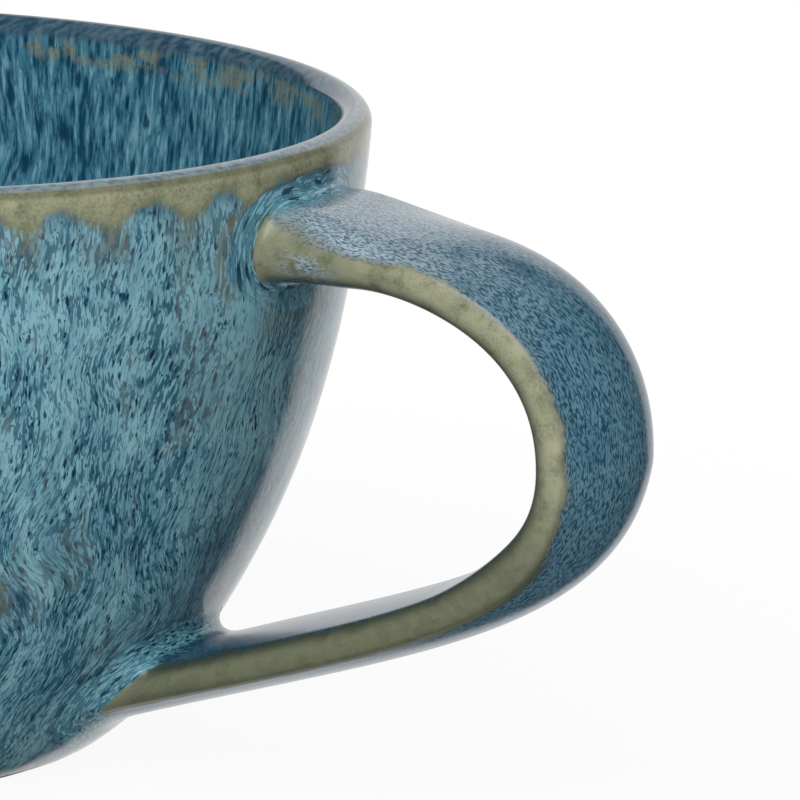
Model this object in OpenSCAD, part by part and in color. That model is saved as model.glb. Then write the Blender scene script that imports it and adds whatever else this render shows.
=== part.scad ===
// Soup mug in glazed stoneware: a round-bellied cup on a bare foot ring, and a strap
// handle that is joined to it with slip. Millimetres, +Z up, origin under the middle
// of the foot on the table, handle along +X. Sizes are taken over the fired glaze.

/* [Cup] */
// Diameter over the rim
rim_d = 130; // [100:1:160]
// Height from the table to the top of the lip
mug_h = 75; // [65:1:100]
// Outward lean of the wall just under the lip, in degrees
wall_lean = 3; // [0:1:8]
// Thickness of the clay wall
wall_t = 3; // [2:0.25:5]
// Thickness of the clay floor above the recess
floor_t = 4; // [3:0.25:8]

/* [Foot] */
// Outer diameter of the bare ring that stands on the table
foot_d = 67; // [50:1:80]
// Width of that ring
foot_w = 4; // [2:0.5:8]
// How far the glazed belly overhangs the ring
foot_overhang = 2.5; // [1:0.5:6]
// Height of the belly's lower edge above the table
foot_h = 1; // [0.6:0.2:3]
// Depth of the recess inside the ring
recess_h = 1.8; // [1:0.2:2.6]

/* [Handle] */
// Drop from the top of the lip to the middle of the upper root
handle_drop = 10; // [9:0.5:16]
// Height of the middle of the lower root above the table
handle_low = 12; // [11:0.5:20]
// Reach of the strap's middle line beyond the rim
handle_reach = 35; // [25:1:45]
// Width of the strap
strap_w = 22.5; // [14:0.5:30]
// Thickness of the strap along its two edges
strap_t = 3.9; // [3:0.1:6]
// How far the outer face is crowned above the edges at the outermost point
tip_crown = 4.1; // [1:0.1:5]
// The same crown on the lower arm
low_crown = 1.9; // [0:0.1:4]
// How far the inner face is crowned above the edges
inner_crown = 0.5; // [0:0.1:1.5]
// Depth of the rounding on the strap's edges
edge_round = 1.5; // [0.5:0.1:3]
// Extra edge thickness where the upper root meets the cup
root_flare = 4.7; // [1:0.1:6]
// Length over which that extra thickness fades
flare_run = 10; // [6:0.5:16]
// Upward tilt of the strap as it leaves the cup, in degrees
upper_rise = 2; // [0:1:10]
// Rise of the strap as it leaves the lower root, in degrees
lower_rise = 19; // [10:1:30]

/* [Glaze and slip] */
// Thickness of the fired glaze
glaze_t = 0.45; // [0.3:0.05:0.8]
// Thickness of the slip pad under each handle root
slip_t = 1; // [0.9:0.1:1.6]
// Width of slip that shows round each root
slip_rim = 0.6; // [0.2:0.1:0.8]

/* [Hidden] */
$fn = 96;

// Hairline between one layer and the next
bond_gap = 0.02;
// Room between each handle root and the slip pad that it sits on
seat_gap = 0.3;
// Cuts run this far past what they cut
overrun = 2;

// Pull of the wall's curve down from the rim, as a share of the wall's height
belly_share = 0.76;
// Softening of the curve's end at the belly's lower edge
turn_share = 0.04;
// Height of the handle's outermost point, from the lower root to the upper
tip_share = 0.59;
// Pull of the handle's curve at the upper root, above and below the tip, and at the
// lower root, as shares of the distance that each one spans
upper_pull_share = 0.64;
tip_up_share = 0.65;
tip_down_share = 0.49;
lower_pull_share = 0.64;
// Drop below the tip over which the crown fades to that of the lower arm
crown_fade_share = 0.3;

// Counts of steps along the wall, round the lip, along each handle arm and across it
wall_steps = 24;
lip_steps = 12;
arm_steps = 18;
strap_steps = 6;

clay_inset = glaze_t + bond_gap;
lip_r = wall_t / 2 + clay_inset;
floor_z = recess_h + floor_t;
foot_r = foot_d / 2;
foot_in_r = foot_r - foot_w;

// Curves in a half plane, as points [distance from the axis, height]
function bezier(p, t) =
    pow(1 - t, 3) * p[0] + 3 * pow(1 - t, 2) * t * p[1]
    + 3 * (1 - t) * t * t * p[2] + pow(t, 3) * p[3];
function bezier_heading(p, t) =
    let (d = pow(1 - t, 2) * (p[1] - p[0]) + 2 * (1 - t) * t * (p[2] - p[1])
        + t * t * (p[3] - p[2]))
    d / norm(d);
function left_of(d) = [-d[1], d[0]];
function reversed(list) = [for (i = [len(list) - 1 : -1 : 0]) list[i]];

// The glazed outside of the wall, from the lip down to the belly's lower edge
lip_centre = [rim_d / 2 - lip_r, mug_h - lip_r];
wall_top = lip_centre + lip_r * [cos(wall_lean), -sin(wall_lean)];
wall_end = [foot_r + foot_overhang, foot_h];
wall_pull = wall_top
    + belly_share * (wall_top[1] - wall_end[1]) * [-sin(wall_lean), -cos(wall_lean)];
wall_curve = [wall_top, wall_pull, wall_end + turn_share * (wall_pull - wall_end), wall_end];

// The wall's points, moved out from the glazed surface by a distance
function wall_points(out) = [
    for (i = [0 : wall_steps])
        let (t = i / wall_steps)
        bezier(wall_curve, t) + out * left_of(bezier_heading(wall_curve, t))
];
// The same on the inside of the cup, cut off at a floor, from the lip down to the axis
function inner_points(out, floor_level) =
    let (wall = wall_points(out), edge_r = wall_radius(floor_level, out))
    concat([for (p = wall) if (p[1] > floor_level) p], [[edge_r, floor_level], [0, floor_level]]);
function wall_radius(z, out) = lookup(z, [for (p = wall_points(out)) [p[1], p[0]]]);
// Points round the lip, turning from one angle to another
function lip_points(r, from, to) = [
    for (i = [0 : lip_steps])
        let (a = from + (to - from) * i / lip_steps)
        lip_centre + r * [cos(a), sin(a)]
];
lip_out = -wall_lean;
lip_in = 180 - wall_lean;
lip_crest = 90;

// The handle's middle line, in the plane of the handle
upper_root = [wall_radius(mug_h - handle_drop, 0), mug_h - handle_drop];
lower_root = [wall_radius(handle_low, 0), handle_low];
tip = [rim_d / 2 + handle_reach, lower_root[1] + tip_share * (upper_root[1] - lower_root[1])];
upper_arm = [
    upper_root,
    upper_root + upper_pull_share * (tip[0] - upper_root[0]) * [cos(upper_rise), sin(upper_rise)],
    tip + [0, tip_up_share * (upper_root[1] - tip[1])],
    tip
];
lower_arm = [
    tip,
    tip - [0, tip_down_share * (tip[1] - lower_root[1])],
    lower_root + lower_pull_share * (tip[0] - lower_root[0]) * [cos(lower_rise), sin(lower_rise)],
    lower_root
];
stations = 2 * arm_steps;
function arm_at(i) = i <= arm_steps ? upper_arm : lower_arm;
function arm_t(i) = (i <= arm_steps ? i : i - arm_steps) / arm_steps;

// The strap's section, as points [across, outwards], grown by a distance
function strap_edge(x) = (strap_t + root_flare * exp(-pow((x - upper_root[0]) / flare_run, 2))) / 2;
function eased(share) = share * share * (3 - 2 * share);
function strap_crown(i, middle) =
    i <= arm_steps
        ? tip_crown * eased((middle[0] - upper_root[0]) / (tip[0] - upper_root[0]))
        : low_crown + (tip_crown - low_crown)
            * exp(-(tip[1] - middle[1]) / (tip[1] - lower_root[1]) / crown_fade_share);
function strap_section(edge, crown, grow) =
    let (
        flat_w = strap_w / 2 - edge_round,
        round_w = edge_round + grow,
        half_t = edge + grow,
        ticks = [for (k = [0 : strap_steps]) 2 * k / strap_steps - 1],
        turns = [45, 0, -45]
    )
    concat(
        [for (a = ticks) [a * flat_w, half_t + crown * (1 - a * a)]],
        [for (a = turns) [flat_w + round_w * cos(a), half_t * sin(a)]],
        [for (a = reversed(ticks)) [a * flat_w, -half_t - inner_crown * (1 - a * a)]],
        [for (a = reversed(turns)) [-flat_w - round_w * cos(a), half_t * sin(a)]]
    );
section_size = 2 * (strap_steps + 1) + 6;

// Slides a point along a heading until it lies on the outside of the slip pads
seat_out = slip_t - glaze_t + seat_gap;
seat_tries = 6;
function seated(p, heading, across, tries) =
    tries == 0 ? p : seated(
        p + heading * (sqrt(pow(wall_radius(p[1], seat_out), 2) - across * across) - p[0]) / heading[0],
        heading, across, tries - 1
    );

// One ring of the strap, with its first and last ring seated on the cup
function strap_ring(i, grow) =
    let (
        middle = bezier(arm_at(i), arm_t(i)),
        heading = bezier_heading(arm_at(i), arm_t(i)),
        edge = strap_edge(i <= arm_steps ? middle[0] : tip[0]),
        ends = i == 0 || i == stations
    )
    [
        for (q = strap_section(edge, strap_crown(i, middle), grow))
            let (
                p = middle + q[1] * left_of(heading),
                s = ends ? seated(p, heading, q[0], seat_tries) : p
            )
            [s[0], q[0], s[1]]
    ];
function strap_points(grow) = [for (i = [0 : stations], p = strap_ring(i, grow)) p];

// Triangles between rings, over points that start at a given index
function tube_faces(start, inward) = [
    for (i = [0 : stations - 1], k = [0 : section_size - 1], half = [0, 1])
        let (
            a = start + i * section_size + k,
            b = start + i * section_size + (k + 1) % section_size,
            c = a + section_size,
            d = b + section_size,
            f = half == 0 ? [a, c, b] : [b, c, d]
        )
        inward ? reversed(f) : f
];
// Triangles over one end ring, in slices across the strap
function cap_faces(ring, last) =
    let (
        n = strap_steps,
        at = ring * section_size,
        outer = [for (k = [0 : n]) at + k],
        right = [for (k = [1 : 3]) at + n + k],
        inner = [for (k = [0 : n]) at + section_size - 4 - k],
        left = [for (k = [1 : 3]) at + section_size - k],
        faces = concat(
            [for (k = [0 : n - 1]) [outer[k], outer[k + 1], inner[k]]],
            [for (k = [0 : n - 1]) [outer[k + 1], inner[k + 1], inner[k]]],
            [[outer[n], right[0], right[1]], [outer[n], right[1], inner[n]], [right[1], right[2], inner[n]]],
            [[outer[0], left[1], left[0]], [outer[0], inner[0], left[1]], [inner[0], left[2], left[1]]]
        )
    )
    [for (f = faces) last ? reversed(f) : f];
// Triangles between an outer and an inner ring at one end of the glaze
function rim_faces(ring, inside, last) = [
    for (k = [0 : section_size - 1], half = [0, 1])
        let (
            a = ring * section_size + k,
            b = ring * section_size + (k + 1) % section_size,
            f = half == 0 ? [a, b, a + inside] : [b, b + inside, a + inside]
        )
        last ? reversed(f) : f
];

// A round-ended window on each root of the handle, seen along the handle
module root_window(ring, margin) {
    heights = [for (p = strap_ring(ring, 0)) p[2]];
    tall = max(heights) - min(heights) + 2 * (slip_rim + margin);
    wide = strap_w + 2 * (slip_rim + margin);
    translate([0, 0, (max(heights) + min(heights)) / 2])
        rotate([90, 0, 90])
            linear_extrude(rim_d / 2 + overrun) {
                square([wide - tall, tall], center = true);
                for (side = [-1, 1])
                    translate([side * (wide - tall) / 2, 0])
                        circle(d = tall);
            }
}

// A pad of slip that follows the cup's wall under one root of the handle
module slip_pad(ring) {
    intersection() {
        rotate_extrude()
            polygon(concat(wall_points(slip_t - glaze_t), reversed(wall_points(-glaze_t))));
        root_window(ring, 0);
    }
}

module cup_body() {
    outside = reversed(wall_points(-clay_inset));
    color([0.72, 0.64, 0.53])
        rotate_extrude()
            polygon(concat(
                [[0, recess_h], [foot_in_r, recess_h], [foot_in_r, 0], [foot_r, 0]],
                [[foot_r, outside[0][1]]],
                outside,
                lip_points(wall_t / 2, lip_out, lip_in),
                inner_points(-clay_inset - wall_t, floor_z)
            ));
}

module handle() {
    color([0.70, 0.62, 0.51])
        polyhedron(
            strap_points(-clay_inset),
            concat(tube_faces(0, false), cap_faces(0, false), cap_faces(stations, true))
        );
}

module upper_slip_joint() {
    color([0.66, 0.60, 0.50])
        slip_pad(0);
}

module lower_slip_joint() {
    color([0.66, 0.60, 0.50])
        slip_pad(stations);
}

module liner_glaze() {
    under_z = floor_z + bond_gap;
    color([0.20, 0.42, 0.50])
        rotate_extrude()
            polygon(concat(
                lip_points(lip_r, lip_crest, lip_in),
                inner_points(-2 * lip_r, under_z + glaze_t),
                reversed(inner_points(glaze_t - 2 * lip_r, under_z)),
                lip_points(lip_r - glaze_t, lip_in, lip_crest)
            ));
}

module outer_glaze() {
    color([0.24, 0.45, 0.53])
        difference() {
            rotate_extrude()
                polygon(concat(
                    reversed(wall_points(0)),
                    lip_points(lip_r, lip_out, lip_crest),
                    lip_points(lip_r - glaze_t, lip_crest, lip_out),
                    wall_points(-glaze_t)
                ));
            root_window(0, bond_gap);
            root_window(stations, bond_gap);
        }
}

module handle_glaze() {
    inside = (stations + 1) * section_size;
    color([0.30, 0.44, 0.52])
        polyhedron(
            concat(strap_points(0), strap_points(-glaze_t)),
            concat(
                tube_faces(0, false), tube_faces(inside, true),
                rim_faces(0, inside, false), rim_faces(stations, inside, true)
            )
        );
}

module base_glaze() {
    color([0.22, 0.40, 0.48])
        translate([0, 0, recess_h - clay_inset])
            cylinder(h = glaze_t, r = foot_in_r - bond_gap);
}

cup_body();
handle();
upper_slip_joint();
lower_slip_joint();
liner_glaze();
outer_glaze();
handle_glaze();
base_glaze();
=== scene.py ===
"""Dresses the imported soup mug: glaze coats on the cup and on its handle, the bare clay
of the foot, and a plain white studio."""

import math

import bmesh
import bpy
import numpy as np
from bpy.props import FloatProperty, FloatVectorProperty, PointerProperty
from mathutils import Matrix, Vector, noise


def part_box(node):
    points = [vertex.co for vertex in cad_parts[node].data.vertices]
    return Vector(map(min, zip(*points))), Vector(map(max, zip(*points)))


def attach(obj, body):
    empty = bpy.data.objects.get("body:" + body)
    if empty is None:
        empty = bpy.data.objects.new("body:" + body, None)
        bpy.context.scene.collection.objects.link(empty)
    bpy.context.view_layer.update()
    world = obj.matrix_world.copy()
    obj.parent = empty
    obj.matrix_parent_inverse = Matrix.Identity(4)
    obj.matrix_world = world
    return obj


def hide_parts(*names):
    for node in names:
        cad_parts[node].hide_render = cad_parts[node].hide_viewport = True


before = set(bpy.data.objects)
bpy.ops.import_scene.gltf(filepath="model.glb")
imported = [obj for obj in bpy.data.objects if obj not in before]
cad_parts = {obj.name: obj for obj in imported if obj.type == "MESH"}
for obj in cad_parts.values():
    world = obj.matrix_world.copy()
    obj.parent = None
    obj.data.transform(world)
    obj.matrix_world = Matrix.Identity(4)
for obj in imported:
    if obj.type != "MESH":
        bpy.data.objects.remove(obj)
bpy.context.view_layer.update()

bl_info = {
    "name": "Glazed soup mug",
    "version": (1, 0, 0),
    "blender": (4, 5, 0),
    "location": "View3D > Sidebar > Soup Mug",
    "description": "Adds the glaze coats, clay and studio of a soup mug",
    "category": "Add Mesh",
}

MM = 0.001

# Curve of the cup's wall and of the handle, as shares of what each pull spans
BELLY_SHARE = 0.76
TURN_SHARE = 0.04
TIP_SHARE = 0.59
UPPER_PULL = 0.64
TIP_UP_PULL = 0.65
TIP_DOWN_PULL = 0.49
LOWER_PULL = 0.64
CROWN_FADE = 0.3

# Hairline between clay and glaze, in millimetres
BOND_GAP = 0.02

# Counts of steps in the curves and meshes
CUP_CURVE_STEPS = 800
STRAP_CURVE_STEPS = 400
SPIN_STEPS = 288
WALL_STEPS = 96
LIP_STEPS = 16
BACK_STEPS = 24
ROLL_STEPS = 6
TURN_STEPS = 14
FLOOR_STEPS = 12
STRAP_FACE_STEPS = 26
STRAP_SIDE_STEPS = 11
FILLET_STEPS = 10
CORNER_PASSES = 12

# Distance in metres at which vertices merge, and the angle from which an edge is sharp
MERGE_GAP = 1e-7
SHARP_ANGLE = math.radians(50)

# Rise and run of the turn from the wall to the floor inside, in millimetres
FLOOR_TURN = (7.0, 10.0)

# Distance between the strap's rings, the rounding of its edges at a root and the length over
# which they sharpen, in millimetres, and the share of it that the lower root has
STATION_GAP = 0.8
ROOT_ROUND = 4.2
SOFT_RUN = 12.0
LOWER_SOFTNESS = 0.5

# Power that fills out the rounding of the strap's edges, and the passes that smooth it
CRISP_EDGE = (0.7, 2)
SOFT_EDGE = (1.0, 4)

# Where the inner swell grows and where it fades, in millimetres along the strap
SWELL_START = (2, 10)
SWELL_END = (58, 72)

# Fillets of the roots, for the outer face, the side and the inner face: legs on the cup and on
# the strap in millimetres, and the pull towards the corner
UPPER_FILLET = ((1.3, 1.2, 1.4), (3.0, 1.0, 1.4), (1.0, 1.0, 1.0))
LOWER_FILLET = ((2.6, 4.0, 5.0), (3.4, 4.6, 5.6), (1.0, 0.8, 0.45))

# Lengths over which the strap makes room for its fillets, the spacing of their rings in the flow,
# how far they are pressed into the wall and how deep their skirt goes, in millimetres
UPPER_FADE = 15.0
LOWER_FADE = 22.0
FILLET_GAP = 0.3
PRESS_IN = 0.03
SKIRT_DEPTH = 0.5

# Largest distance from a root that is kept, in millimetres
DEPTH_LIMIT = 60

# Waves sunk into the outer coat, in millimetres: depth and swing, scales of the two waves, and
# where they set in below the lip and round the roots
RELIEF_DEPTH = 0.11
RELIEF_SWING = 0.07
RELIEF_SCALES = (0.11, 0.27)
RELIEF_FROM_LIP = (4, 14)
RELIEF_FROM_ROOT = (3, 9)

# Radius at which the glaze's flow is laid out round the cup, in millimetres
FLOW_R = 65.0

# Blue arches of the glaze that meet the band under the lip, counted round the cup
ARCHES = 39.0

# Refraction of the glaze, depths of the fine relief in metres, and millimetres in a metre
GLAZE_IOR = 1.5
GLAZE_RELIEF = 0.00003
CLAY_RELIEF = 0.00008
PER_METRE = 1000.0

# Key light in metres: its width, the point it aims at, and its place from there to the right,
# towards the camera and up
KEY_SIZE = 0.8
KEY_AIM = (0.02, 0, 0.04)
KEY_PLACE = (-0.08, 0.76, 0.65)

# Floor in metres: half its width, its drop under the foot, and where it fades to pure white
FLOOR_HALF = 4.0
FLOOR_DROP = 0.0002
FLOOR_FADE = (0.09, 0.22)
FLOOR_GREY = 0.8
FOOT_WHITE = 0.94

# Reflected surroundings: the white behind the mug, the cosines between which it ends, and the rest
BACK_LEVEL = 0.8
BACK_EDGE = (-0.70, -0.80)
DIM_LEVEL = 0.05

# Width of the camera's sensor in millimetres
SENSOR_W = 36.0


def linear(r, g, b):
    """A colour from screen values of 0 to 255."""
    def channel(v):
        v /= 255
        return v / 12.92 if v <= 0.04045 else ((v + 0.055) / 1.055) ** 2.4
    return (channel(r), channel(g), channel(b))


def length(label, text, default):
    return FloatProperty(name=label, description=text, default=default, unit="LENGTH", min=0.0)


def angle(label, text, degrees):
    return FloatProperty(name=label, description=text, default=math.radians(degrees), subtype="ANGLE")


def colour(label, text, r, g, b):
    return FloatVectorProperty(
        name=label, description=text, default=linear(r, g, b), subtype="COLOR", min=0.0, max=1.0
    )


OUTER_LOW, OUTER_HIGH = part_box("outer_glaze")
LINER_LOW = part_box("liner_glaze")[0]


class MugSizes(bpy.types.PropertyGroup):
    """Sizes of the mug, taken over the fired glaze."""
    rim_d: length("Rim", "Diameter over the rim", OUTER_HIGH.y - OUTER_LOW.y)
    mug_h: length("Height", "Table to the top of the lip", OUTER_HIGH.z)
    wall_lean: angle("Lean", "Outward lean of the wall under the lip", 3)
    wall_t: length("Wall", "Thickness of the clay wall", 0.003)
    glaze_t: length("Glaze", "Thickness of the fired glaze", 0.00045)
    floor_z: length("Floor", "Height of the glazed floor inside", LINER_LOW.z + 0.00045)
    belly_d: length("Belly edge", "Diameter over the belly's lower edge", 0.072)
    belly_z: length("Belly edge height", "Table to the belly's lower edge", OUTER_LOW.z)
    handle_drop: length("Upper root", "Lip to the middle of the upper root", 0.010)
    handle_low: length("Lower root", "Table to the middle of the lower root", 0.012)
    handle_reach: length("Reach", "Strap's middle line beyond the rim", 0.035)
    strap_w: length("Strap width", "Width of the strap", 0.0225)
    strap_t: length("Strap edge", "Thickness of the strap along its edges", 0.0039)
    tip_crown: length("Tip crown", "Rise of the outer face over the edges at the tip", 0.0041)
    low_crown: length("Low crown", "The same rise on the lower arm", 0.0019)
    inner_crown: length("Inner crown", "Rise of the inner face over the edges", 0.0005)
    inner_swell: length("Inner swell", "Fullness inside the upper arm and the tip", 0.0007)
    edge_round: length("Edge rounding", "Depth of the rounding on the edges", 0.0015)
    root_flare: length("Root flare", "Extra edge thickness at the upper root", 0.0047)
    flare_run: length("Flare run", "Length over which the flare fades", 0.010)
    upper_rise: angle("Upper rise", "Tilt of the strap at the upper root", 2)
    lower_rise: angle("Lower rise", "Tilt of the strap at the lower root", 19)


class GlazeColours(bpy.types.PropertyGroup):
    """Colours of the glaze and of the clay."""
    pale: colour("Pale", "Milky teal between the flecks", 132, 179, 191)
    teal: colour("Teal", "Clear teal of the glaze", 74, 130, 150)
    navy: colour("Navy", "Dark flecks", 18, 66, 92)
    ink: colour("Ink", "Darkest dashes and blots", 6, 30, 50)
    turquoise: colour("Turquoise", "Thick pools round the roots", 122, 180, 194)
    khaki: colour("Khaki", "Thin glaze over the edges", 170, 171, 141)
    olive: colour("Olive", "Darker boundary of the thin glaze", 96, 102, 78)
    moss: colour("Moss", "Dark line along the thin glaze", 50, 56, 44)
    umber: colour("Umber", "Brown breaks in the glaze", 108, 112, 104)
    mist: colour("Mist", "Light lines on top of the handle and on the lip", 158, 176, 188)
    slate: colour("Slate", "Dark lines on top of the handle", 88, 110, 124)
    denim: colour("Denim", "Light lines low on the handle", 89, 127, 144)
    deep: colour("Deep", "Dark lines low on the handle", 34, 68, 88)
    clay: colour("Clay", "Bare stoneware", 176, 146, 112)
    iron: colour("Iron", "Dark specks in the clay", 74, 54, 40)


class StudioSettings(bpy.types.PropertyGroup):
    """Camera and light of the plain white studio."""
    azimuth: angle("Azimuth", "Camera's turn from the cup's front", 25)
    elevation: angle("Elevation", "Camera's height over the horizon", 12.207)
    roll: angle("Roll", "Camera's turn about its own line of sight", 1.575)
    distance: length("Distance", "Camera to its target", 0.780)
    target_side: length("Target side", "Target's distance from the cup's axis", 0.0691)
    target_z: length("Target height", "Target's height over the table", 0.0405)
    lens: FloatProperty(name="Lens", description="Focal length in millimetres", default=302.4, min=1.0)
    fill: FloatProperty(name="Fill", description="Level of the light all round", default=0.40, min=0.0)
    key_power: FloatProperty(
        name="Key", description="Power of the light overhead", default=8.0, min=0.0, unit="POWER"
    )


def bezier(p, t):
    """Points on a cubic curve."""
    t = np.asarray(t, float)[..., None]
    return (1 - t) ** 3 * p[0] + 3 * (1 - t) ** 2 * t * p[1] + 3 * (1 - t) * t * t * p[2] + t ** 3 * p[3]


def bezier_heading(p, t):
    """Directions along a cubic curve."""
    t = np.asarray(t, float)[..., None]
    d = (1 - t) ** 2 * (p[1] - p[0]) + 2 * (1 - t) * t * (p[2] - p[1]) + t * t * (p[3] - p[2])
    return unit(d)


def unit(v):
    return v / np.linalg.norm(v, axis=-1, keepdims=True)


def left_of(d):
    return np.stack([-d[..., 1], d[..., 0]], axis=-1)


def running_length(points):
    steps = np.linalg.norm(np.diff(points, axis=0), axis=1)
    return np.concatenate([[0.0], np.cumsum(steps)])


def smooth_share(value, low, high):
    t = np.clip((value - low) / (high - low), 0, 1)
    return t * t * (3 - 2 * t)


def turned(p, r, z):
    """Points at the same turns about the axis as others, with distances and heights of their own."""
    turn = np.arctan2(p[:, 1], p[:, 0])
    return np.stack([r * np.cos(turn), r * np.sin(turn), z], axis=1)


class CupForm:
    """The cup's curves in millimetres, as points (distance from the axis, height)."""

    def __init__(self, sizes):
        self.glaze_t = sizes.glaze_t / MM
        self.floor_z = sizes.floor_z / MM
        self.lean = sizes.wall_lean
        self.rim_r = sizes.rim_d / MM / 2
        self.mug_h = sizes.mug_h / MM
        self.lip_r = sizes.wall_t / MM / 2 + self.glaze_t + BOND_GAP
        self.lip_centre = np.array([self.rim_r - self.lip_r, self.mug_h - self.lip_r])
        top = self.lip_centre + self.lip_r * np.array([math.cos(self.lean), -math.sin(self.lean)])
        end = np.array([sizes.belly_d / MM / 2, sizes.belly_z / MM])
        down = np.array([-math.sin(self.lean), -math.cos(self.lean)])
        pull = top + BELLY_SHARE * (top[1] - end[1]) * down
        self.curve = [top, pull, end + TURN_SHARE * (pull - end), end]
        fine = np.linspace(0, 1, CUP_CURVE_STEPS + 1)
        self.points = bezier(self.curve, fine)
        self.normals = left_of(bezier_heading(self.curve, fine))
        self.lip_run = self.lip_r * (math.pi / 2 + self.lean)
        self.runs = self.lip_run + running_length(self.points)

    def wall(self, out, count):
        """Points down the wall, moved out from the glazed surface."""
        t = np.linspace(0, 1, count + 1)
        return bezier(self.curve, t) + out * left_of(bezier_heading(self.curve, t))

    def lip(self, radius, start, stop, count):
        a = np.linspace(start, stop, count + 1)
        return self.lip_centre + radius * np.stack([np.cos(a), np.sin(a)], axis=1)

    def radius(self, z):
        return np.interp(z, self.points[::-1, 1], self.points[::-1, 0])

    def run_at(self, z):
        """Length along the outside from the crest of the lip down to a height."""
        wall = np.interp(z, self.points[::-1, 1], self.runs[::-1])
        rise = np.clip((z - self.lip_centre[1]) / self.lip_r, -1, 1)
        lip = self.lip_r * (math.pi / 2 - np.arcsin(rise))
        return np.where(z > self.points[0, 1], lip, wall)

    def normal(self, p):
        """Outward direction of the glazed wall at points in space."""
        z = p[:, 2]
        across = np.interp(z, self.points[::-1, 1], self.normals[::-1, 0])
        up = np.interp(z, self.points[::-1, 1], self.normals[::-1, 1])
        return turned(p, across, up)

    def pressed(self, p, depth):
        """Points moved level with the table until they lie at a depth under the wall."""
        return turned(p, self.radius(p[:, 2]) - depth, p[:, 2])

    def outer_loop(self):
        """Closed section of the outside coat, with a rolled lower edge."""
        half = self.glaze_t / 2
        crest = math.pi / 2
        wall = self.wall(0, WALL_STEPS)
        back = self.wall(-self.glaze_t, BACK_STEPS)
        lip = self.lip(self.lip_r, -self.lean, crest, LIP_STEPS)
        under = self.lip(self.lip_r - self.glaze_t, crest, -self.lean, LIP_STEPS)
        tail = left_of(left_of(bezier_heading(self.curve, [1.0])))[0]
        middle = (wall[-1] + back[-1]) / 2
        side = (wall[-1] - back[-1]) / (2 * half)
        roll = [middle + half * (math.cos(a) * side - math.sin(a) * tail)
                for a in np.linspace(math.pi, 0, ROLL_STEPS + 1)[1:-1]]
        return np.concatenate([wall[::-1], lip[1:], under, back[1:], roll])

    def liner_loop(self):
        """Section of the inside coat from the axis, over the floor and wall, to the lip and back."""
        depth = 2 * self.lip_r
        wall = self.wall(-depth, WALL_STEPS)
        corner_rise, corner_run = FLOOR_TURN
        wall = wall[wall[:, 1] > self.floor_z + corner_rise]
        slope = unit(wall[-1] - wall[-2])
        corner = wall[-1] + slope * (self.floor_z - wall[-1][1]) / slope[1]
        floor_start = corner - [corner_run, 0]
        t = np.linspace(0, 1, TURN_STEPS + 1)[1:, None]
        turn = (1 - t) ** 2 * wall[-1] + 2 * (1 - t) * t * corner + t * t * floor_start
        floor = np.linspace(floor_start, [0, self.floor_z], FLOOR_STEPS + 1)[1:]
        lip = self.lip(self.lip_r, math.pi / 2, math.pi - self.lean, LIP_STEPS)
        seen = np.concatenate([lip, wall[1:], turn, floor])
        hidden = seen + self.glaze_t * left_of(unit(np.gradient(seen, axis=0)))
        hidden[0] = self.lip_centre + [0, self.lip_r - self.glaze_t]
        hidden[-1] = [0, self.floor_z - self.glaze_t]
        return seen, hidden


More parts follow.
